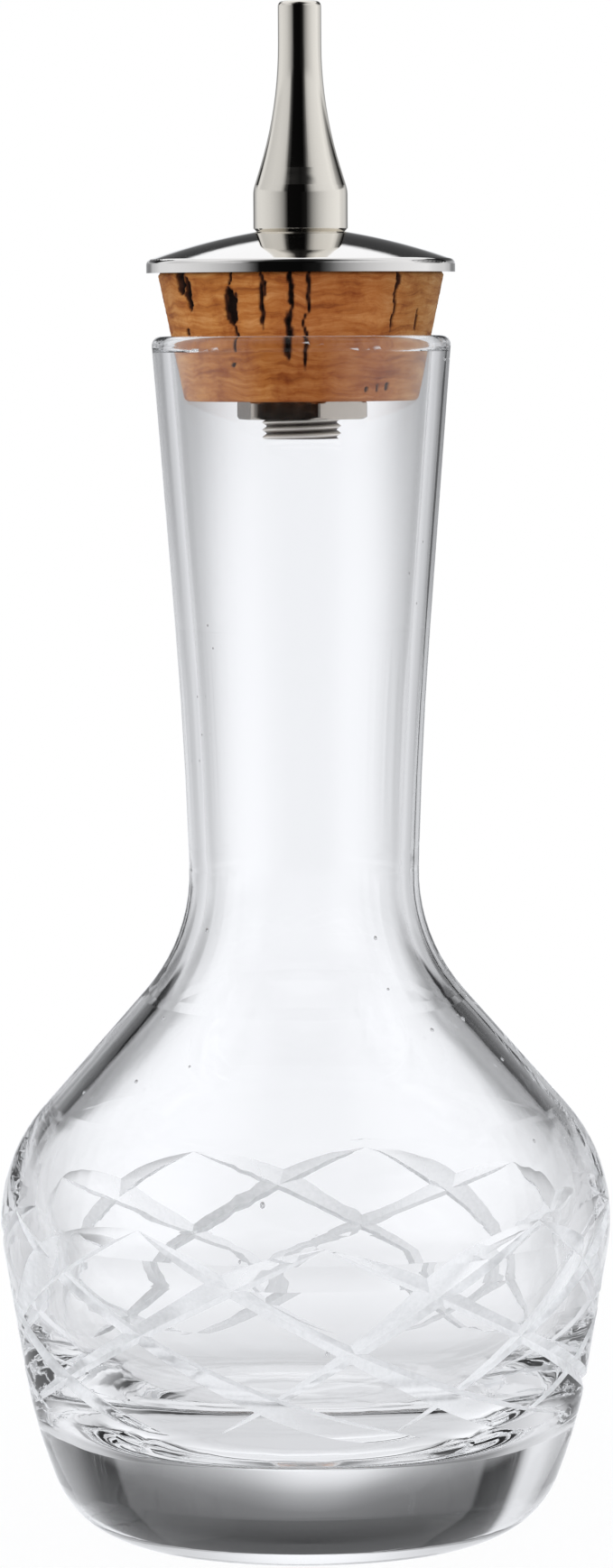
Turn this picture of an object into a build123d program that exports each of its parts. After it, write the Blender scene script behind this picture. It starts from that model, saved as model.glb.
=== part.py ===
from build123d import *
import os
from math import acos, cos, radians, sin, sqrt, tan

# A bitters bottle of clear cut glass, with a cork stopper that carries a metal dasher spout.
# Millimetres. The axis is Z, the foot stands on Z = 0 and the front of the cut lattice faces -Y.

os.makedirs("parts", exist_ok=True)

# Glass outline: the corners that its straight runs make, and the rounds that ease them
foot_radius = 15.4
foot_round = 6.0
heel_radius = 23.85
heel_height = 1.5
heel_round = 9.8
side_radius = 27.95
side_height = 12.0
side_round = 54.0
belly_radius = 32.4
belly_height = 38.4
belly_round = 17.4
root_radius = 11.55
root_height = 62.05
root_round = 18.5
waist_radius = 12.15
waist_height = 82.5
waist_round = 480.0
mouth_radius = 15.28
bottle_height = 123.5
run_share = 0.98

# Glass thickness
floor_height = 11.5
floor_round = 17.0
side_wall = 3.5
shoulder_wall = 2.2
neck_wall = 1.75
lip_bead = 0.21

# Lattice of crossing cuts round the belly
lattice_count = 9
lattice_turn = 7.0
lattice_top = 34.9
lattice_middle = 24.3
lattice_foot = 14.8
groove_depth = 0.45
groove_angle = 120.0

# How unevenly the lattice was cut by hand. Each row is a peak: its drift round the belly as a share of
# the spacing, its rise as a share of the lattice's upper height, and the drifts of the middle and the
# foot of its right and of its left cut
uneven_shares = [
    (-0.09, -0.04, (-0.04, 0.40), (-0.08, -0.15)),
    (0.03, 0.08, (0.02, 0.10), (0.10, 0.32)),
    (-0.04, 0.02, (-0.03, -0.10), (0.00, 0.19)),
    (0.05, -0.03, (0.05, 0.20), (-0.04, -0.10)),
    (0.00, 0.05, (-0.02, 0.10), (0.06, 0.20)),
    (-0.06, 0.00, (0.04, 0.30), (-0.03, 0.00)),
    (0.04, -0.04, (-0.05, 0.15), (0.02, 0.10)),
    (0.07, 0.06, (0.06, 0.45), (0.03, -0.10)),
    (0.02, 0.08, (0.00, 0.45), (-0.05, 0.10)),
]

# Tapered cork
cork_top_radius = 14.6
cork_foot_radius = 12.1
cork_height = 12.9
cork_fit = 0.05
cork_bore_gap = 0.1
cork_edge = 0.25

# Domed disc on the cork
disc_radius = 15.7
disc_rim = 1.25
disc_height = 4.1
disc_seat = 5.0
dome_round = 60.0
disc_bore_gap = 0.15
disc_edge = 0.6

# Threaded tube through the stopper, drawn at the thread's outer size
stem_radius = 4.0
stem_bore = 2.8
stem_tail = 2.0
stem_top_gap = 0.2
stem_edge = 0.35
thread_gap = 0.05

# Hexagon nut under the cork
nut_across_flats = 12.0
nut_height = 1.9
nut_turn = 15.0
nut_edge_drop = 0.55

# Dasher spout
spout_radius = 4.8
collar_height = 4.3
spout_height = 23.3
spout_bend_height = 12.6
spout_bend_round = 42.0
collar_round = 3.0
tip_radius = 2.2
tip_round = 0.5
socket_depth = 4.4
spout_wall = 0.9
dash_hole_radius = 0.8
dash_hole_length = 3.0
collar_edge = 0.35

overrun = 1.0


# Straight lines in the outline's plane, each a point and a direction
def line_through(start, end, wall=0):
    """The line from start to end, moved by wall towards the axis."""
    direction = (end - start).normalized()
    return start + Vector(-direction.Y, direction.X) * wall, direction


def meet(first, second):
    """The point where two lines cross."""
    (p, u), (q, v) = first, second
    return p + u * ((q - p).cross(v).Z / u.cross(v).Z)


def eased(corners, rounds):
    """The rounds, cut back at a corner whose straight runs are too short for them."""
    runs = [end - start for start, end in zip(corners, corners[1:])]
    half_turns = [radians(run.get_angle(after) / 2) for run, after in zip(runs, runs[1:])]
    setbacks = [0, *(size * tan(turn) for size, turn in zip(rounds, half_turns)), 0]
    room = []
    for run, before, after in zip(runs, setbacks, setbacks[1:]):
        length = run_share * run.length
        room.append(length / max(length, before + after))
    return [size * min(before, after) for size, before, after in zip(rounds, room, room[1:])]


# Corners of the outside, from the foot up
heel = Vector(heel_radius, heel_height)
side = Vector(side_radius, side_height)
belly = Vector(belly_radius, belly_height)
root = Vector(root_radius, root_height)
waist = Vector(waist_radius, waist_height)
mouth = Vector(mouth_radius, bottle_height)

# The lip is a round bead, flush with the neck outside and a little proud of it inside
lip_round = (neck_wall + lip_bead) / 2
neck_start, neck_run = line_through(waist, mouth)
neck_side = Vector(neck_run.Y, -neck_run.X)
lip_rise = (bottle_height - lip_round - waist_height - lip_round * neck_run.X) / neck_run.Y
lip_outside = neck_start + neck_run * lip_rise
lip_centre = lip_outside - neck_side * lip_round
lip_crown = lip_centre + Vector(0, lip_round)
lip_undercut = sqrt(lip_round**2 - (neck_wall - lip_round) ** 2)
lip_inside = lip_outside - neck_side * neck_wall - neck_run * lip_undercut

outside = [Vector(0, 0), Vector(foot_radius, 0), heel, side, belly, root, waist, lip_outside]
outside_rounds = eased(outside, [foot_round, heel_round, side_round, belly_round, root_round, waist_round])

# Corners of the inside, each wall set in from the outside by its own thickness
side_inside = line_through(side, belly, side_wall)
shoulder_inside = line_through(belly, root, shoulder_wall)
throat_inside = line_through(root, waist, neck_wall)
neck_inside = line_through(waist, mouth, neck_wall)
floor_line = (Vector(0, floor_height), Vector(1, 0))
waist_inner = meet(throat_inside, neck_inside)
root_inner = meet(shoulder_inside, throat_inside)
belly_inner = meet(side_inside, shoulder_inside)
floor_inner = meet(side_inside, floor_line)
inside = [lip_inside, waist_inner, root_inner, belly_inner, floor_inner, Vector(0, floor_height)]
inner_rounds = [waist_round + neck_wall, root_round + shoulder_wall, belly_round - side_wall, floor_round]
inside_rounds = eased(inside, inner_rounds)

# The round of the belly, as the cuts in it need it
belly_ease = outside_rounds[3]
side_run = (belly - side).normalized()
shoulder_run = (root - belly).normalized()
belly_half_turn = acos(side_run.dot(shoulder_run)) / 2
belly_round_start = belly - side_run * (belly_ease * tan(belly_half_turn))
belly_centre = belly_round_start + Vector(-side_run.Y, side_run.X) * belly_ease


def glass_radius(height):
    """Outer radius of the glass between the foot of the side and the top of the belly."""
    if height < belly_round_start.Y:
        return side_radius + (height - side_height) * side_run.X / side_run.Y
    return belly_centre.X + sqrt(belly_ease**2 - (height - belly_centre.Y) ** 2)


def on_glass(azimuth, height, sunk=0):
    """The point at an azimuth from the front and a height, sunk into the glass."""
    radius = glass_radius(height) - sunk
    return Vector(radius * sin(radians(azimuth)), -radius * cos(radians(azimuth)), height)


# The bottle, with each cut of the lattice made by a wheel that runs down and round the belly
with BuildPart() as bottle:
    with BuildSketch(Plane.XZ):
        with BuildLine():
            FilletPolyline(*outside, radius=outside_rounds)
            ThreePointArc(lip_outside, lip_crown, lip_inside)
            FilletPolyline(*inside, radius=inside_rounds)
            Line((0, floor_height), (0, 0))
        make_face()
    revolve(axis=Axis.Z)

    spacing = 360 / lattice_count
    for peak in range(lattice_count):
        drift, rise, *sides = uneven_shares[peak % len(uneven_shares)]
        peak_azimuth = lattice_turn + (peak + drift) * spacing
        peak_height = lattice_top + rise * (lattice_top - lattice_middle)
        for hand, (middle_drift, foot_drift) in zip((1, -1), sides):
            middle_azimuth = lattice_turn + (peak + hand + middle_drift) * spacing
            foot_azimuth = lattice_turn + (peak + 2 * hand + foot_drift) * spacing
            wheel_rim = ThreePointArc(
                on_glass(peak_azimuth, peak_height),
                on_glass(middle_azimuth, lattice_middle, groove_depth),
                on_glass(foot_azimuth, lattice_foot),
                mode=Mode.PRIVATE,
            )
            hub = wheel_rim.arc_center
            spoke = ((wheel_rim @ 0.5) - hub).normalized()
            wheel_plane = Plane(origin=hub, x_dir=spoke, z_dir=wheel_rim % 0.5)
            edge = wheel_rim.radius
            reach = 2 * groove_depth + overrun
            half_width = reach * tan(radians(groove_angle / 2))
            with BuildSketch(wheel_plane):
                with BuildLine():
                    Polyline(
                        (edge, 0),
                        (edge + reach, half_width),
                        (edge + reach, -half_width),
                        close=True,
                    )
                make_face()
            revolve(axis=Axis(hub, tuple(wheel_plane.y_dir)), mode=Mode.SUBTRACT)

bottle.part.label = "bottle"
export_step(bottle.part, "parts/bottle.step")

# The cork stands where its taper meets the lip
cork_taper = (cork_top_radius - cork_foot_radius) / cork_height
cork_lean = sqrt(1 + cork_taper**2)
cork_radius_at_lip = lip_centre.X - (lip_round + cork_fit) * cork_lean
cork_foot = lip_centre.Y - (cork_radius_at_lip - cork_foot_radius) / cork_taper
cork_top = cork_foot + cork_height

with BuildPart() as cork:
    with BuildSketch(Plane.XZ):
        with BuildLine():
            Polyline(
                (stem_radius + cork_bore_gap, cork_foot),
                (cork_foot_radius, cork_foot),
                (cork_top_radius, cork_top),
                (stem_radius + cork_bore_gap, cork_top),
                close=True,
            )
        make_face()
    revolve(axis=Axis.Z)
    cork_rims = cork.edges().filter_by(lambda ring: ring.is_closed).sort_by(SortBy.RADIUS)
    chamfer(cork_rims[-2:], length=cork_edge)

cork.part.label = "cork"
export_step(cork.part, "parts/cork.step")

# The disc: a flat underside, a short upright rim, a small round where the dome begins, and a shallow
# dome that ends in a flat seat for the spout
disc_top = cork_top + disc_height
dome_top = Vector(disc_seat, disc_top)
dome_chord = Vector(disc_radius, cork_top + disc_rim) - dome_top
chord_side = Vector(dome_chord.Y, -dome_chord.X).normalized()
dome_sink = sqrt(dome_round**2 - (dome_chord.length / 2) ** 2)
dome_centre = dome_top + dome_chord / 2 + chord_side * dome_sink
edge_reach = disc_radius - disc_edge - dome_centre.X
edge_rise = sqrt((dome_round - disc_edge) ** 2 - edge_reach**2)
edge_centre = dome_centre + Vector(edge_reach, edge_rise)
dome_foot = dome_centre + (edge_centre - dome_centre).normalized() * dome_round
rim_top = edge_centre + Vector(disc_edge, 0)


def arc_middle(centre, start, end):
    """The middle of the shorter arc from start to end round a centre."""
    halfway = (start - centre) + (end - centre)
    return centre + halfway.normalized() * (start - centre).length


with BuildPart() as cap_disc:
    with BuildSketch(Plane.XZ):
        with BuildLine():
            Polyline(
                dome_top,
                (stem_radius + disc_bore_gap, disc_top),
                (stem_radius + disc_bore_gap, cork_top),
                (disc_radius, cork_top),
                rim_top,
            )
            ThreePointArc(rim_top, arc_middle(edge_centre, rim_top, dome_foot), dome_foot)
            ThreePointArc(dome_foot, arc_middle(dome_centre, dome_foot, dome_top), dome_top)
        make_face()
    revolve(axis=Axis.Z)

cap_disc.part.label = "cap_disc"
export_step(cap_disc.part, "parts/cap_disc.step")

# The threaded tube, from below the nut to near the end of the spout's socket
nut_foot = cork_foot - nut_height
stem_foot = nut_foot - stem_tail
stem_top = disc_top + socket_depth - stem_top_gap

with BuildPart() as stem:
    with BuildSketch(Plane.XY.offset(stem_foot)):
        Circle(stem_radius)
        Circle(stem_bore, mode=Mode.SUBTRACT)
    extrude(amount=stem_top - stem_foot)
    outer_rims = stem.edges().filter_by(GeomType.CIRCLE).group_by(SortBy.RADIUS)[-1]
    chamfer(outer_rims, length=stem_edge)

stem.part.label = "stem"
export_step(stem.part, "parts/stem.step")

# The hexagon nut: its corners are turned off below, as on any bought nut
nut_corner_radius = nut_across_flats / 2 / cos(radians(30))

with BuildPart() as hex_nut:
    with BuildSketch(Plane.XY.offset(nut_foot)):
        RegularPolygon(nut_across_flats / 2, 6, major_radius=False, rotation=nut_turn)
        Circle(stem_radius + thread_gap, mode=Mode.SUBTRACT)
    extrude(amount=nut_height)
    with BuildSketch(Plane.XZ):
        with BuildLine():
            Polyline(
                (0, nut_foot),
                (nut_across_flats / 2, nut_foot),
                (nut_corner_radius, nut_foot + nut_edge_drop),
                (nut_corner_radius, cork_foot),
                (0, cork_foot),
                close=True,
            )
        make_face()
    revolve(axis=Axis.Z, mode=Mode.INTERSECT)

hex_nut.part.label = "hex_nut"
export_step(hex_nut.part, "parts/hex_nut.step")

# The spout: a straight collar with a socket for the tube, a waist that sweeps up to a slim tip, and
# a passage that follows the outside and narrows to the dash hole
collar_top = disc_top + collar_height
spout_top = disc_top + spout_height
spout_bend = Vector(tip_radius, disc_top + spout_bend_height)
waist_wall = line_through(Vector(spout_radius, collar_top), spout_bend, spout_wall)
tip_wall = line_through(spout_bend, Vector(tip_radius, spout_top), spout_wall)
passage_bend = meet(waist_wall, tip_wall)
socket_end = (Vector(0, disc_top + socket_depth), Vector(1, 0))
passage_foot = meet(waist_wall, socket_end)
dash_hole_foot = spout_top - dash_hole_length
spout_outside = [
    Vector(spout_radius, disc_top + collar_edge),
    Vector(spout_radius, collar_top),
    spout_bend,
    Vector(tip_radius, spout_top),
    Vector(dash_hole_radius, spout_top),
]
spout_rounds = eased(spout_outside, [collar_round, spout_bend_round, tip_round])
spout_inside = [Vector(passage_bend.X, dash_hole_foot), passage_bend, passage_foot]

with BuildPart() as nozzle:
    with BuildSketch(Plane.XZ):
        with BuildLine():
            FilletPolyline(*spout_outside, radius=spout_rounds)
            Polyline(spout_outside[-1], (dash_hole_radius, dash_hole_foot), spout_inside[0])
            FilletPolyline(*spout_inside, radius=eased(spout_inside, [spout_bend_round + spout_wall]))
            Polyline(
                passage_foot,
                (stem_radius + thread_gap, disc_top + socket_depth),
                (stem_radius + thread_gap, disc_top),
                (spout_radius - collar_edge, disc_top),
                spout_outside[0],
            )
        make_face()
    revolve(axis=Axis.Z)

nozzle.part.label = "nozzle"
export_step(nozzle.part, "parts/nozzle.step")
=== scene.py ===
"""Looks of the bitters bottle: clear cut glass, natural cork and polished metal, on a white stage."""
from math import cos, pi, radians, sin, tan
from random import Random

import bmesh
import bpy
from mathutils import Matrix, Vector, noise


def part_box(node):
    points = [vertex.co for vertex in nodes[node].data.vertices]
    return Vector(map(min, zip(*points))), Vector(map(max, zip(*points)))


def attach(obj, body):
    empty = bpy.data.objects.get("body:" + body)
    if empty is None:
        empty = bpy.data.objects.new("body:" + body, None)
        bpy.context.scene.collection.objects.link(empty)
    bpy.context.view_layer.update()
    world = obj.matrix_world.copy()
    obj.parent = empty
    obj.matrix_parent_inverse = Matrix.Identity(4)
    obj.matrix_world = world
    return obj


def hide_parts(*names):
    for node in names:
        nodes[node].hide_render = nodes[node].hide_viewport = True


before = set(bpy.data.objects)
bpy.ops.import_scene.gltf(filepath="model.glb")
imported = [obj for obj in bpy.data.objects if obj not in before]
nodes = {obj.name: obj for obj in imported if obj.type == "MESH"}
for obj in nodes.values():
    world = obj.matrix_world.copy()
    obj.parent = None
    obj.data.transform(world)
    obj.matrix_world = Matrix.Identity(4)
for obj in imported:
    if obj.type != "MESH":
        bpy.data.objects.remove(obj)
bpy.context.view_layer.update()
scene = bpy.context.scene

MM = 0.001
WHITE = (1.0, 1.0, 1.0)


# Node helpers
class Tree:
    """A short way to add and join shader nodes."""

    # Places of a mix node's sockets for colours
    MIX_FACTOR, MIX_FIRST, MIX_SECOND, MIX_RESULT = 0, 6, 7, 2

    def __init__(self, owner):
        owner.use_nodes = True
        self.tree = owner.node_tree
        self.tree.nodes.clear()

    def add(self, kind, *inputs, **settings):
        """Adds a node; its inputs are joined or set in order."""
        node = self.tree.nodes.new(kind)
        for name, value in settings.items():
            setattr(node, name, value)
        for socket, value in zip(node.inputs, inputs):
            self.put(socket, value)
        return node

    def put(self, socket, value):
        """Joins a node or an output to the socket, or sets the socket's own value."""
        if hasattr(value, "outputs"):
            value = value.outputs[0]
        if hasattr(value, "is_linked"):
            self.tree.links.new(value, socket)
        else:
            socket.default_value = value

    def set(self, node, **values):
        """Sets or joins sockets by name, with _ for each space."""
        for name, value in values.items():
            self.put(node.inputs[name.replace("_", " ")], value)
        return node

    def maths(self, operation, *inputs):
        return self.add("ShaderNodeMath", *inputs, operation=operation)

    def vector(self, operation, *inputs):
        return self.add("ShaderNodeVectorMath", *inputs, operation=operation)

    def place(self):
        """The place on the piece, which is also the place in the shared frame."""
        return self.add("ShaderNodeTexCoord").outputs["Object"]

    def parts(self, vector):
        """The X, Y and Z of a vector."""
        return self.add("ShaderNodeSeparateXYZ", vector).outputs

    def share(self, value, start, end, shape="LINEAR"):
        """How far a value has come from start to end, from 0 to 1."""
        node = self.add("ShaderNodeMapRange", value, start, end, 0.0, 1.0, interpolation_type=shape)
        return node.outputs[0]

    def ramp(self, value, stops):
        """A colour ramp; stops are (place, grey or colour)."""
        node = self.add("ShaderNodeValToRGB", value)
        points = node.color_ramp.elements
        while len(points) < len(stops):
            points.new(0.5)
        for point, (place, shade) in zip(points, stops):
            point.position = place
            point.color = (*(shade if isinstance(shade, tuple) else (shade,) * 3), 1)
        return node

    def mix(self, factor, first, second, blend="MIX"):
        node = self.add("ShaderNodeMix", data_type="RGBA", blend_type=blend)
        for place, value in ((self.MIX_FACTOR, factor), (self.MIX_FIRST, first), (self.MIX_SECOND, second)):
            self.put(node.inputs[place], (*value, 1) if isinstance(value, tuple) else value)
        return node.outputs[self.MIX_RESULT]

    def noise(self, place, scale, detail=3.0, rough=0.5):
        node = self.add("ShaderNodeTexNoise")
        return self.set(node, Vector=place, Scale=scale, Detail=detail, Roughness=rough)

    def bump(self, height, distance, strength):
        return self.set(self.add("ShaderNodeBump"), Height=height, Distance=distance, Strength=strength)

    def principled(self, **values):
        return self.set(self.add("ShaderNodeBsdfPrincipled"), **values)


def new_material(name):
    material = bpy.data.materials.new(name)
    return material, Tree(material)


def finish_material(tree, shader):
    tree.add("ShaderNodeOutputMaterial", shader)


# Mesh helpers
def add_object(name, mesh):
    mesh.shade_smooth()
    piece = bpy.data.objects.new(name, mesh)
    scene.collection.objects.link(piece)
    return piece


def new_object(name, vertices, faces):
    mesh = bpy.data.meshes.new(name)
    mesh.from_pydata(vertices, [], faces)
    mesh.validate()
    return add_object(name, mesh)


def level_ring(reach, height, steps, start=0.0):
    """The points of a round ring about the axis."""
    turns = [2 * pi * step / steps + start for step in range(steps)]
    return [(reach * cos(turn), reach * sin(turn), height) for turn in turns]


def round_object(name, vertices, order, steps):
    """An object whose rings of points are joined, each to the next one in the order."""
    faces = []
    for below, above in zip(order, order[1:]):
        for step in range(steps):
            after = (step + 1) % steps
            corners = (below, step), (below, after), (above, after), (above, step)
            faces.append([ring * steps + place for ring, place in corners])
    return new_object(name, vertices, faces)


# Clear glass
GLASS_IOR = 1.5
GLASS_WAVE = 0.02 * MM
LIGHT_KEPT = (0.96, 0.96, 0.96, 1)

# Frost on the cuts, between the sideways lean of the glass at which it begins and that at which it is full
GROUND_LEAN = (0.06, 0.14)
FROST_STREAKS = [(0.3, 0.8), (0.7, 1.0)]
FROST_ROUGHNESS = 0.2
FROST_WHITE = 0.55


def clear_glass():
    """Clear glass; the ground flanks of the cuts, whose normals lean sideways, are frosted.

    Light on its way to the cork and to other pieces behind the glass goes straight through.
    """
    material, tree = new_material("clear_glass")
    coordinates = tree.add("ShaderNodeTexCoord").outputs
    place = coordinates["Object"]
    outward = tree.vector("NORMALIZE", tree.vector("MULTIPLY", place, (1, 1, 0)))
    lean = tree.vector("CROSS_PRODUCT", coordinates["Normal"], outward)
    sideways = tree.maths("ABSOLUTE", tree.parts(lean)[2])
    waves = tree.noise(place, scale=60.0, detail=1.0)
    streaks = tree.ramp(tree.noise(place, scale=1500.0, detail=2.0), FROST_STREAKS)
    frost = tree.maths("MULTIPLY", tree.share(sideways, *GROUND_LEAN), streaks)
    glass = tree.principled(
        Base_Color=(*WHITE, 1),
        Roughness=tree.maths("MULTIPLY", frost, FROST_ROUGHNESS),
        IOR=GLASS_IOR,
        Transmission_Weight=tree.maths("MULTIPLY_ADD", frost, -FROST_WHITE, 1.0),
        Normal=tree.bump(waves, GLASS_WAVE, strength=0.4),
    )
    path = tree.add("ShaderNodeLightPath").outputs
    lit_through = tree.maths("MAXIMUM", path["Is Shadow Ray"], path["Is Diffuse Ray"])
    open_air = tree.add("ShaderNodeBsdfTransparent", LIGHT_KEPT)
    finish_material(tree, tree.add("ShaderNodeMixShader", lit_through, glass, open_air))
    return material


# Air in the bubbles, which bends light the other way
AIR_IN_GLASS_IOR = 0.667


def bubble_air():
    material, tree = new_material("seed_air")
    skin = tree.noise(tree.place(), scale=3000.0)
    shader = tree.principled(
        Base_Color=(*WHITE, 1),
        Roughness=tree.ramp(skin, [(0.3, 0.0), (0.8, 0.05)]),
        IOR=AIR_IN_GLASS_IOR,
        Transmission_Weight=1.0,
    )
    finish_material(tree, shader)
    return material


# Natural cork
GROWTH_COLOURS = [
    (0.30, (0.27, 0.078, 0.014)), (0.46, (0.43, 0.150, 0.030)), (0.66, (0.56, 0.250, 0.072)),
]
GROWTH_SCALE = (150, 150, 1500)
GROWTH_SWAY = (0, 0, 2.2 * MM)
GROWTH_HEIGHT = 0.12 * MM
CLOUDS = [(0.30, (0.66, 0.48, 0.40)), (0.5, 1.0), (0.72, (1.1, 1.25, 1.6))]
# Painted light and shade across the cork, along X over the span given first: lighter on the left, darker in
# the middle, with painted cool reflections at both edges
PAINTED_LIGHT_SPAN = 30 * MM
PAINTED_LIGHT_ACROSS = [
    (0.0, (0.85, 0.90, 1.0)), (0.12, (1.0, 0.98, 0.95)), (0.35, (0.95, 0.86, 0.80)),
    (0.5, (0.80, 0.66, 0.66)), (0.75, (0.82, 0.73, 0.75)), (0.9, (0.74, 0.84, 1.0)),
    (1.0, (0.70, 0.86, 1.15)),
]
STAIN_COLOUR = (0.075, 0.020, 0.006)
STAIN_STOPS = [(0.0, 0.0), (0.35, 1.0)]
PIT_COLOUR = (0.012, 0.005, 0.003)
PIT_STOPS = [(0.3, 0.0), (0.7, 1.0)]
CORK_ROUGHNESS = [(0.3, 0.62), (0.7, 0.8)]
CORK_SHINE = 0.12


def natural_cork():
    """Amber cork with wavy growth lines, cloudy patches and painted light and shade from side to side; how
    dark a mark is comes from the mesh.
    """
    material, tree = new_material("natural_cork")
    place = tree.place()
    stir = tree.noise(place, scale=260.0, detail=2.0).outputs["Color"]
    swayed = tree.vector("ADD", place, tree.vector("MULTIPLY", stir, GROWTH_SWAY))
    flat = tree.set(tree.add("ShaderNodeMapping"), Vector=swayed, Scale=GROWTH_SCALE)
    lines = tree.noise(flat, scale=1.0, detail=5.0, rough=0.65)
    clouds = tree.ramp(tree.noise(place, scale=330.0, detail=5.0, rough=0.7), CLOUDS)
    # Painted light and shade from side to side, laid over the cork's colour
    across = tree.maths("MULTIPLY_ADD", tree.parts(place)[0], 1 / PAINTED_LIGHT_SPAN, 0.5)
    colour = tree.mix(1.0, tree.ramp(lines, GROWTH_COLOURS), clouds, "MULTIPLY")
    colour = tree.mix(1.0, colour, tree.ramp(across, PAINTED_LIGHT_ACROSS), "MULTIPLY")
    mark = tree.add("ShaderNodeAttribute", attribute_name="mark").outputs["Fac"]
    colour = tree.mix(tree.ramp(mark, STAIN_STOPS), colour, STAIN_COLOUR)
    colour = tree.mix(tree.ramp(mark, PIT_STOPS), colour, PIT_COLOUR)
    shader = tree.principled(
        Base_Color=colour,
        Roughness=tree.ramp(lines, CORK_ROUGHNESS),
        Specular_IOR_Level=CORK_SHINE,
        Normal=tree.bump(lines, GROWTH_HEIGHT, strength=0.5),
    )
    finish_material(tree, shader)
    return material


# Metals
def metal_shader(tree, colour, roughness, grain, metallic=1.0):
    """Metal with a fine grain that stirs its surface, and its roughness between the two given."""
    spots = tree.noise(tree.place(), scale=1400.0, detail=3.0)
    smoothest, roughest = roughness
    return tree.principled(
        Base_Color=colour,
        Metallic=metallic,
        Roughness=tree.ramp(spots, [(0.35, smoothest), (0.7, roughest)]),
        Normal=tree.bump(spots, grain, strength=0.3),
    )


def metal(name, colour, roughness, grain):
    material, tree = new_material(name)
    finish_material(tree, metal_shader(tree, (*colour, 1), roughness, grain))
    return material


# Threaded tube
THREAD_PITCH = 0.75 * MM
THREAD_DEPTH = 0.42 * MM
THREAD_STEEPNESS = 1.25
THREAD_CREST_FLAT = 0.12
THREAD_ROUGHNESS = (0.3, 0.4)
THREAD_GRAIN = 0.01 * MM
THREAD_METALLIC = 0.6
# Painted shade in the thread's roots, rising to a painted highlight on its crests
PAINTED_SHADE_TO_HIGHLIGHT = [(0.0, (0.06, 0.052, 0.045)), (0.4, (0.45, 0.41, 0.37)), (0.8, (0.96, 0.92, 0.86))]
TUBE_BORE = 2.8 * MM
TUBE_STEPS = 96
TUBE_ROWS_A_TURN = 12


def thread_steel():
    """Painted highlight on the crests and painted shade in the roots, by the distance from the axis, on
    partly dull metal.
    """
    _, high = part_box("stem")
    material, tree = new_material("thread_steel")
    reach = tree.vector("LENGTH", tree.vector("MULTIPLY", tree.place(), (1, 1, 0))).outputs["Value"]
    # Painted shade and highlight by the distance from the axis
    colour = tree.ramp(tree.share(reach, high.x - THREAD_DEPTH, high.x), PAINTED_SHADE_TO_HIGHLIGHT)
    finish_material(tree, metal_shader(tree, colour, THREAD_ROUGHNESS, THREAD_GRAIN, THREAD_METALLIC))
    return material


def thread_cut(height, angle):
    """How deep the thread is at a place: nothing on the narrow crest, all of its depth in the root."""
    turn = (height / THREAD_PITCH - angle / (2 * pi)) % 1
    from_crest = abs(2 * turn - 1)
    return THREAD_DEPTH * min(1, max(0, THREAD_STEEPNESS * from_crest - THREAD_CREST_FLAT))


def threaded_tube():
    low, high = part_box("stem")
    length = high.z - low.z
    rows = int(length / THREAD_PITCH * TUBE_ROWS_A_TURN)
    vertices = []
    for row in range(rows + 1):
        height = low.z + length * row / rows
        for step in range(TUBE_STEPS):
            angle = 2 * pi * step / TUBE_STEPS
            reach = high.x - thread_cut(height, angle)
            vertices.append((reach * cos(angle), reach * sin(angle), height))
    vertices += level_ring(TUBE_BORE, high.z, TUBE_STEPS)
    vertices += level_ring(TUBE_BORE, low.z, TUBE_STEPS)
    return round_object("threaded_tube", vertices, [*range(rows + 3), 0], TUBE_STEPS)


# Nut
NUT_FLATS = 12 * MM
NUT_TURN = -15
NUT_BORE = 4.05 * MM
NUT_CHAMFER = 30
NUT_END_SHARE = 1.07
NUT_CORNER_WEAR = 0.12 * MM
NUT_SHARP_ANGLE = 14
NUT_STEPS = 180
NUT_ROWS = 24


def shaped_nut():
    """A hexagon whose corners are turned down to a cone at both ends."""
    low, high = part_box("hex_nut")
    height = high.z - low.z
    flat = 0.5 * NUT_FLATS
    corner = flat / cos(pi / 6) - NUT_CORNER_WEAR
    vertices = []
    for row in range(NUT_ROWS + 1):
        rise = row / NUT_ROWS
        from_end = min(rise, 1 - rise) * height
        cone = flat * NUT_END_SHARE + from_end / tan(radians(NUT_CHAMFER))
        for step in range(NUT_STEPS):
            angle = 2 * pi * step / NUT_STEPS
            off_flat = (angle - radians(NUT_TURN)) % (pi / 3) - pi / 6
            reach = min(corner, flat / cos(off_flat), cone)
            vertices.append((reach * cos(angle), reach * sin(angle), low.z + rise * height))
    vertices += level_ring(NUT_BORE, high.z, NUT_STEPS)
    vertices += level_ring(NUT_BORE, low.z, NUT_STEPS)
    piece = round_object("shaped_nut", vertices, [*range(NUT_ROWS + 3), 0], NUT_STEPS)
    piece.data.set_sharp_from_angle(angle=radians(NUT_SHARP_ANGLE))
    return piece


# Cork body
CORK_STEPS = 420
CORK_ROWS = 120
CORK_EDGE = 0.25 * MM
CORK_GRAIN = 0.03 * MM
FOOT_RING_SHARE = 0.55
TOP_RING_SHARE = 0.6
LEVEL_TOLERANCE = 0.01 * MM

# Marks of the side that is seen: heading from the front in degrees, top and foot as shares of the height
# from the cork's top down, width in mm, and how dark
CORK_MARKS = [
    (-57, -0.05, 0.18, 1.5, 0.9), (-53, 0.02, 0.31, 1.0, 1.0), (-30, -0.05, 0.12, 0.32, 0.6),
    (-30, 0.1, 0.42, 1.35, 1.2), (-29.5, 0.38, 0.62, 0.28, 0.8), (-30.5, 0.69, 0.73, 0.4, 0.8),
    (-16.3, -0.05, 0.46, 0.5, 0.7), (-15, 0.05, 0.2, 0.35, 0.6), (-4.1, -0.05, 0.3, 0.62, 0.9),
    (-5.2, 0.25, 0.7, 0.82, 0.8), (3.2, -0.05, 0.35, 0.42, 0.8), (1.9, 0.3, 0.77, 0.4, 0.7),
    (42.3, -0.05, 0.48, 0.34, 0.7), (42.8, 0.0, 0.12, 0.6, 0.7), (58.5, 0.27, 0.49, 0.32, 0.9),
    (-58, 0.43, 0.49, 0.8, 0.8), (31, 0.88, 0.93, 0.3, 0.6), (42, 0.85, 0.92, 0.5, 0.7),
    (37, 0.86, 0.93, 0.24, 0.5),
]

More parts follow.
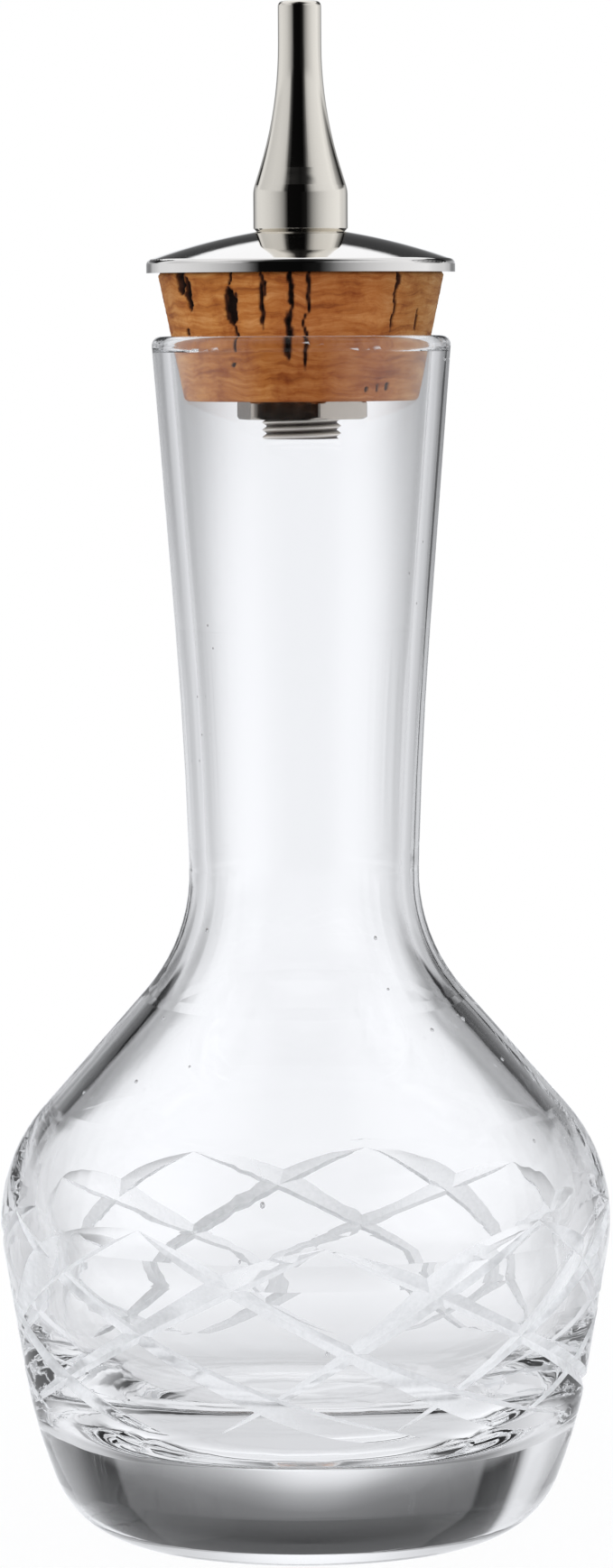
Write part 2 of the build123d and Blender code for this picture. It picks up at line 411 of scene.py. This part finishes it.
# Marks of the other side: their number and headings, and the same measures, each drawn from its range
BACK_MARKS = 13
BACK_START = 78
BACK_SPAN = 204
BACK_TOPS = (-0.1, 0.5)
BACK_LENGTHS = (0.12, 0.5)
BACK_WIDTHS = (0.3, 0.4, 0.6, 1.2)
BACK_DARKNESS = (0.6, 1.1)

# How far a mark strays sideways in degrees, how it widens from its ends, how full and how ragged it is
MARK_DRIFT = 1.6
MARK_TAPER = 5
MARK_TAPER_POWER = 0.6
MARK_FULLNESS = 1.15
MARK_RAGGED = 0.6
PIT_DEPTH = 0.55 * MM
PIT_SLOPE = 1.6
PIT_START = 0.4

# Noise on the side: its scales for a degree round and for the whole height, and its layer
RAGGED_NOISE = (0.9, 20, 3.0)
DRIFT_NOISE = (0.05, 9, 8.0)
GRAIN_ROUND = 0.12
GRAIN_UP = 60


def cork_marks():
    """The marks of the seen side, and some like them for the other side."""
    chance = Random(7)
    marks = list(CORK_MARKS)
    for index in range(BACK_MARKS):
        heading = BACK_START + BACK_SPAN * (index + chance.uniform(0.1, 0.9)) / BACK_MARKS
        top = chance.uniform(*BACK_TOPS)
        foot = top + chance.uniform(*BACK_LENGTHS)
        marks.append((heading, top, foot, chance.choice(BACK_WIDTHS), chance.uniform(*BACK_DARKNESS)))
    return marks


def side_noise(heading, rise, kind):
    """Smooth noise on the cork's side."""
    round_scale, up_scale, layer = kind
    return noise.noise(Vector((heading * round_scale, rise * up_scale, layer)))


def mark_darkness(marks, heading, rise, reach):
    """How dark the marks make a point of the cork's side, from 0 to 1."""
    ragged = side_noise(heading, rise, RAGGED_NOISE)
    drift = side_noise(heading, rise, DRIFT_NOISE)
    dark = 0
    for place, top, foot, width, strength in marks:
        turn = (heading - place - MARK_DRIFT * drift + 180) % 360 - 180
        aside = abs(turn) * pi / 180 * reach / MM
        along = (1 - rise - top) / (foot - top)
        if aside < 2 * width and 0 < along < 1:
            fullness = min(1, MARK_TAPER * along, MARK_TAPER * (1 - along)) ** MARK_TAPER_POWER
            fullness *= MARK_FULLNESS + MARK_RAGGED * ragged
            dark = max(dark, min(1, strength * (fullness - aside / (0.5 * width))))
    return dark


def cork_ends():
    """The reach of the cork's foot and of its bore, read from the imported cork."""
    low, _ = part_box("cork")
    places = [corner.co for corner in nodes["cork"].data.vertices]
    reaches = [place.xy.length for place in places if place.z < low.z + LEVEL_TOLERANCE]
    return max(reaches), min(reaches)


def marked_cork():
    """The tapered cork with its bore, and each mark as a ragged pit."""
    low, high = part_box("cork")
    foot_reach, bore = cork_ends()
    height = high.z - low.z
    marks = cork_marks()
    vertices, darkness = [], []
    for row in range(CORK_ROWS + 1):
        rise = row / CORK_ROWS
        from_end = min(rise, 1 - rise) * height
        nominal = foot_reach + (high.x - foot_reach) * rise - max(0, CORK_EDGE - from_end)
        for step in range(CORK_STEPS):
            angle = 360 * step / CORK_STEPS
            heading = (angle + 180) % 360 - 180
            dark = mark_darkness(marks, heading, rise, nominal)
            grain = CORK_GRAIN * noise.noise(Vector((heading * GRAIN_ROUND, 0.0, rise * GRAIN_UP)))
            reach = nominal - PIT_DEPTH * max(0, min(1, dark * PIT_SLOPE - PIT_START)) + grain
            around = radians(angle - 90)
            vertices.append((reach * cos(around), reach * sin(around), low.z + rise * height))
            darkness.append(dark)
    top_rings = (high.x * TOP_RING_SHARE, high.z), (bore, high.z)
    foot_rings = (bore, low.z), (foot_reach * FOOT_RING_SHARE, low.z)
    for reach, level in top_rings + foot_rings:
        vertices += level_ring(reach, level, CORK_STEPS, start=-pi / 2)
        darkness += [0] * CORK_STEPS
    piece = round_object("cork_body", vertices, [*range(CORK_ROWS + 5), 0], CORK_STEPS)
    shade = piece.data.attributes.new("mark", "FLOAT", "POINT")
    shade.data.foreach_set("value", darkness)
    return piece


# Bubbles in the glass
# Each has its pixel place in the photograph and its width in mm. The eye looks level at EYE_PIXEL, which is
# EYE_HEIGHT above the foot in mm, and a pixel is PIXEL mm wide on the axis.
AXIS_PIXEL = 334
EYE_PIXEL = 350
EYE_HEIGHT = 125.53
PIXEL = 0.0915
BUBBLES = [
    (223, 1027, 0.45), (176, 1120, 0.4), (147, 1183, 0.4), (88, 1203, 0.45), (415, 1033, 0.35),
    (428, 1086, 0.3), (476, 1130, 0.45), (511, 1125, 0.5), (505, 1120, 0.3), (554, 1170, 0.5),
    (593, 1197, 0.4), (587, 1250, 0.35), (287, 1298, 0.5), (357, 1462, 0.45), (262, 1360, 0.3),
    (470, 600, 0.2), (455, 634, 0.2), (463, 668, 0.16), (226, 690, 0.18), (232, 715, 0.16),
    (214, 770, 0.18), (219, 812, 0.18), (208, 843, 0.16), (206, 1163, 0.25),
]
BUBBLE_DEPTH = 0.8 * MM
BUBBLE_DENT = 0.06
DENT_SCALE = 4
RAY_START = -60 * MM


def glass_bubbles():
    """Small, slightly tall and dented bubbles, each just under the glass's front."""
    chance = Random(3)
    shell = bmesh.new()
    for across, down, width in BUBBLES:
        x = (across - AXIS_PIXEL) * PIXEL * MM
        z = (EYE_HEIGHT + (EYE_PIXEL - down) * PIXEL) * MM
        found, place, normal, _ = nodes["bottle"].ray_cast((x, RAY_START, z), (0, 1, 0))
        if not found:
            continue
        centre = place - normal * BUBBLE_DEPTH
        grown = bmesh.ops.create_icosphere(shell, subdivisions=3, radius=0.5 * width * MM)["verts"]
        stretch = Vector((1, 1, chance.uniform(1.0, 1.5)))
        for corner in grown:
            dent = 1 + BUBBLE_DENT * noise.noise(corner.co / MM * DENT_SCALE)
            corner.co = centre + corner.co * stretch * dent
    mesh = bpy.data.meshes.new("glass_seeds")
    shell.to_mesh(mesh)
    shell.free()
    return add_object("glass_seeds", mesh)


# Pieces
def dress(piece, material):
    piece.data.materials.clear()
    piece.data.materials.append(material)


dress(nodes["bottle"], clear_glass())
dress(nodes["cap_disc"], metal("disc_nickel", (0.83, 0.81, 0.78), roughness=(0.04, 0.065), grain=0.003 * MM))
dress(nodes["nozzle"], metal("spout_nickel", (0.82, 0.78, 0.70), roughness=(0.048, 0.078), grain=0.003 * MM))

tube = threaded_tube()
dress(tube, thread_steel())
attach(tube, "stopper")
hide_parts("stem")

nut = shaped_nut()
dress(nut, metal("nut_steel", (0.52, 0.48, 0.43), roughness=(0.104, 0.169), grain=0.02 * MM))
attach(nut, "stopper")
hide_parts("hex_nut")

cork = marked_cork()
dress(cork, natural_cork())
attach(cork, "stopper")
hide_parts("cork")

bubbles = glass_bubbles()
dress(bubbles, bubble_air())
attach(bubbles, "bottle")


# World
# Headings are degrees from +Y, to the right, and rises are degrees above the horizon. The tables down to
# BACKDROP follow the rise, and those below it the heading.
CORE_CENTRE = [
    (-90, -1), (-5, -1), (-3, -0.2), (-1, 0.2), (1, 3), (5, 4), (7, -3), (9, -1.5), (12, 0), (90, 1),
]
CORE_HALF_WIDTH = [
    (-90, 16), (-14, 14), (-5, 11.9), (-3, 10.6), (-1, 6.2), (1, 7.6), (5, 9), (7, 10), (9, 7), (90, 7),
]
CORE_SHARE = [
    (-90, 0), (-40, 0.1), (-22, 0.7), (-14, 1), (6, 1), (7.5, 0.65), (9, 0.24), (10.5, 0.03), (12, 0),
    (90, 0),
]
INNER_LEFT = [(-90, 30), (17, 30), (24, 24), (31, 21), (90, 21)]
INNER_RIGHT = [(-90, 34), (17, 34), (21, 31), (31, 27), (90, 27)]
BACKDROP = [
    (-90, 0.75), (-30, 0.70), (-20, 0.60), (-9, 0.56), (-6, 0.53), (-5, 0.45), (-4, 0.34),
    (-3, 0.27), (-1, 0.22), (2, 0.235), (5, 0.29), (7, 0.44), (9, 0.29), (10.5, 0.2), (13, 0.125),
    (16, 0.09), (20, 0.062), (26, 0.045), (33, 0.045), (36, 0.95), (90, 0.95),
]
LOW_RING = [
    (-180, 0.003), (-149, 0.004), (-144, 0.1), (-138, 0.28), (-128, 0.47), (-118, 0.6), (-107, 0.71),
    (-96, 0.78), (-83, 0.83), (-69, 0.87), (-50, 0.84), (-38, 0.62), (-30, 0.55), (30, 0.55), (38, 0.62),
    (46, 0.76), (56, 0.78), (64, 0.85), (72, 1.0), (86, 0.96), (99, 0.91), (110, 0.85), (121, 0.75),
    (131, 0.64), (140, 0.5), (150, 0.32), (159, 0.1), (166, 0.01), (180, 0.003),
]
HIGH_RING = [
    (-180, 0.003), (-149, 0.004), (-141, 0.07), (-135, 0.42), (-129, 0.66), (-117, 0.74), (-98, 0.77),
    (-66, 0.7), (-60, 0.74), (-54, 0.88), (-46, 0.84), (-43.5, 0.6), (-41, 0.08), (-36, 0.01), (-31, 0.0),
    (34, 0.003), (43, 0.03), (47, 0.08), (52, 0.2), (62, 0.38), (67, 0.5), (72, 0.8), (86, 1.0),
    (97, 0.93), (117, 0.87), (129, 0.81), (141, 0.7), (152, 0.44), (158, 0.2), (164, 0.04), (170, 0.003),
]
FLOOR_RING = [
    (-180, 0.03), (-140, 0.05), (-100, 0.25), (-60, 0.7), (60, 0.7), (100, 0.25), (140, 0.05), (180, 0.03),
]
OVERHEAD = [
    (-180, 0.01), (-150, 0.03), (-118, 0.6), (-95, 0.95), (95, 0.95), (118, 0.6), (150, 0.03), (180, 0.01),
]

# Levels of light, and in degrees the edges between the parts of the studio
CORE_LIGHT = (1.07, 1.07, 1.07)
CORE_FALL = 3.0
INNER_BLEND = (-1.0, 1.0)
BACKDROP_EDGE = (26.0, 36.0)
RING_CHANGE = (8.0, 12.0)
CEILING = 33.5
METAL_CEILING_LEFT = 23.0
METAL_CEILING_RIGHT = 27.0
METAL_CEILING_EDGE = (34.0, 26.0)
METAL_CEILING_GAIN = 0.2
CEILING_BLEND = (0.0, 3.0)
FLOOR_CHANGE = (-14.0, -30.0)
FLOOR_EDGE = (40.0, 60.0)
LIFT = (0.3, 0.3, 0.3)
LIFT_HEADINGS = (70.0, 100.0)
LIFT_RISES = (11.0, 18.0)
COOL = (0.955, 0.968, 1.0)
DIFFUSE_LIGHT = (1.1, 1.13, 1.18)
DIFFUSE_SHARE = 0.85


class Sky(Tree):
    """The world's nodes, with the heading and rise of each ray and the values that follow them."""

    def __init__(self, world):
        super().__init__(world)
        self.path = self.add("ShaderNodeLightPath").outputs
        east, north, up = self.parts(self.add("ShaderNodeTexCoord").outputs["Generated"])
        self.heading = self.folded(self.maths("DEGREES", self.maths("ARCTAN2", east, north)))
        self.rise = self.maths("DEGREES", self.maths("ARCSINE", up))
        self.off_centre = self.maths("ABSOLUTE", self.heading)
        self.on_right = self.step(self.heading, -0.5, 0.5)

    def none_yet(self, depth):
        """1 for light that has met no such surface, and otherwise 0."""
        return self.maths("LESS_THAN", self.path[depth], 0.5)

    def folded(self, around):
        """The heading, carried from the camera side to the backdrop for light that comes through the glass.

        The glass is as clear from behind as it is from the front. What it mirrors stays where it is.
        """
        turned = self.maths("SUBTRACT", self.maths("MULTIPLY", self.maths("SIGN", around), 180.0), around)
        behind = self.maths("GREATER_THAN", self.maths("ABSOLUTE", around), 90.0)
        unbent = self.maths("MULTIPLY", self.path["Is Transmission Ray"], self.none_yet("Glossy Depth"))
        through = self.maths("MULTIPLY", unbent, behind)
        return self.maths("MULTIPLY_ADD", through, self.maths("SUBTRACT", turned, around), around)

    def by_heading(self, stops):
        share = self.maths("MULTIPLY_ADD", self.heading, 1 / 360, 0.5)
        return self.ramp(share, [(angle / 360 + 0.5, level) for angle, level in stops]).outputs[0]

    def by_rise(self, stops):
        """A value that follows the rise, scaled to go through the ramp's 0 to 1 and back."""
        lowest = min(value for _, value in stops)
        span = max(value for _, value in stops) - lowest
        share = self.maths("MULTIPLY_ADD", self.rise, 1 / 180, 0.5)
        node = self.ramp(share, [(angle / 180 + 0.5, (value - lowest) / span) for angle, value in stops])
        return self.maths("MULTIPLY_ADD", node, span, lowest)

    def step(self, value, start, end):
        return self.share(value, start, end, "SMOOTHSTEP")

    def between(self, share, first, second):
        return self.maths("MULTIPLY_ADD", share, self.maths("SUBTRACT", second, first), first)


def lit_backdrop(sky):
    """The backdrop, and the bright core in it behind the bottle."""
    off_core = sky.maths("ABSOLUTE", sky.maths("SUBTRACT", sky.heading, sky.by_rise(CORE_CENTRE)))
    widths_off = sky.maths("DIVIDE", off_core, sky.by_rise(CORE_HALF_WIDTH))
    fullness = sky.maths("DIVIDE", 1.0, sky.maths("ADD", 1.0, sky.maths("POWER", widths_off, CORE_FALL)))
    core = sky.maths("MULTIPLY", fullness, sky.by_rise(CORE_SHARE))
    return sky.mix(core, sky.by_rise(BACKDROP), CORE_LIGHT)


def side_panels(sky, backdrop):
    """The bright panels round the sides, with one course near the horizon and another above it."""
    low = sky.mix(sky.step(sky.off_centre, *BACKDROP_EDGE), backdrop, sky.by_heading(LOW_RING))
    inner = sky.between(sky.on_right, sky.by_rise(INNER_LEFT), sky.by_rise(INNER_RIGHT))
    past_inner = sky.step(sky.maths("SUBTRACT", sky.off_centre, inner), *INNER_BLEND)
    high = sky.mix(past_inner, backdrop, sky.by_heading(HIGH_RING))
    return sky.mix(sky.step(sky.rise, *RING_CHANGE), low, high)


def overhead_panel(sky, pattern):
    """The panel overhead; for metal outside the glass it comes lower and is brighter over the backdrop."""
    mirrored = sky.maths("MULTIPLY", sky.path["Is Glossy Ray"], sky.none_yet("Transmission Depth"))
    lowered = sky.maths("MULTIPLY", mirrored, sky.step(sky.off_centre, *METAL_CEILING_EDGE))
    metal_ceiling = sky.between(sky.on_right, METAL_CEILING_LEFT, METAL_CEILING_RIGHT)
    ceiling = sky.between(lowered, CEILING, metal_ceiling)
    above = sky.step(sky.maths("SUBTRACT", sky.rise, ceiling), *CEILING_BLEND)
    gain = sky.maths("MULTIPLY_ADD", lowered, METAL_CEILING_GAIN, 1.0)
    return sky.mix(above, pattern, sky.mix(1.0, sky.by_heading(OVERHEAD), gain, "MULTIPLY"))


def lower_half(sky, pattern, backdrop):
    """What lies under the horizon: the backdrop's foot, and the floor's light to the sides."""
    below = sky.mix(sky.step(sky.off_centre, *FLOOR_EDGE), backdrop, sky.by_heading(FLOOR_RING))
    return sky.mix(sky.step(sky.rise, *FLOOR_CHANGE), pattern, below)


def lift_dark_side(sky, pattern):
    """Keeps the dark side from being quite dark where light leaves the glass steeply."""
    aside = sky.step(sky.off_centre, *LIFT_HEADINGS)
    sideways = sky.maths("MULTIPLY", aside, sky.path["Is Transmission Ray"])
    steep = sky.step(sky.maths("ABSOLUTE", sky.rise), *LIFT_RISES)
    lifted = sky.mix(1.0, pattern, LIFT, "LIGHTEN")
    return sky.mix(sky.maths("MULTIPLY", sideways, steep), pattern, lifted)


def studio():
    """A white backdrop with a bright core, bright panels beside and overhead, and a dark camera side."""
    world = bpy.data.worlds.new("studio")
    scene.world = world
    sky = Sky(world)
    backdrop = lit_backdrop(sky)
    pattern = side_panels(sky, backdrop)
    pattern = overhead_panel(sky, pattern)
    pattern = lower_half(sky, pattern, backdrop)
    pattern = sky.mix(1.0, lift_dark_side(sky, pattern), COOL, "MULTIPLY")
    diffuse = sky.maths("MULTIPLY", sky.path["Is Diffuse Ray"], DIFFUSE_SHARE)
    soft = sky.mix(diffuse, pattern, DIFFUSE_LIGHT)
    colour = sky.mix(sky.path["Is Camera Ray"], soft, WHITE)
    sky.add("ShaderNodeOutputWorld", sky.add("ShaderNodeBackground", colour, 1.0))


studio()


# Floor
FLOOR_RADIUS = 300 * MM
FLOOR_DROP = 0.05 * MM
FLOOR_STEPS = 96
FLOOR_GREY = (0.9, 0.9, 0.9, 1)
SHADOW_FADE = (60 * MM, 200 * MM)
PLAIN_SHARE = 0.9


def floor_white():
    """Plain white with a part of the object's shadow, which fades outwards; clear to gloss and glass."""
    material, tree = new_material("floor_white")
    path = tree.add("ShaderNodeLightPath").outputs
    lit = tree.add("ShaderNodeBsdfDiffuse", FLOOR_GREY)
    plain = tree.add("ShaderNodeEmission", (*WHITE, 1), 1.0)
    from_axis = tree.vector("LENGTH", tree.place()).outputs["Value"]
    plainness = tree.add("ShaderNodeMapRange", from_axis, *SHADOW_FADE, PLAIN_SHARE, 1.0)
    seen = tree.add("ShaderNodeMixShader", plainness, lit, plain)
    through = tree.maths("MAXIMUM", path["Is Glossy Ray"], path["Is Transmission Ray"])
    other = tree.add("ShaderNodeMixShader", through, lit, tree.add("ShaderNodeBsdfTransparent"))
    finish_material(tree, tree.add("ShaderNodeMixShader", path["Is Camera Ray"], other, seen))
    return material


rim = level_ring(FLOOR_RADIUS, -FLOOR_DROP, FLOOR_STEPS)
floor = new_object("floor", rim, [tuple(range(FLOOR_STEPS))])
dress(floor, floor_white())


# Camera, from the photograph's perspective
CAMERA_PLACE = (0.55 * MM, -625.6 * MM, 125.5 * MM)
CAMERA_PITCH = 4.364
CAMERA_ROLL = 0.3
LENS = 140.85
SENSOR = 36.0

camera_data = bpy.data.cameras.new("camera")
camera_data.lens = LENS
camera_data.sensor_fit = "VERTICAL"
camera_data.sensor_height = SENSOR
camera_data.clip_start = 10 * MM
camera = bpy.data.objects.new("camera", camera_data)
camera.location = CAMERA_PLACE
camera.rotation_euler = (radians(90 - CAMERA_PITCH), radians(CAMERA_ROLL), 0)
scene.collection.objects.link(camera)
bpy.context.scene.camera = camera

scene.view_settings.view_transform = "Standard"
scene.cycles.max_bounces = 32
scene.cycles.transmission_bounces = 32
scene.cycles.glossy_bounces = 16
scene.cycles.transparent_max_bounces = 16
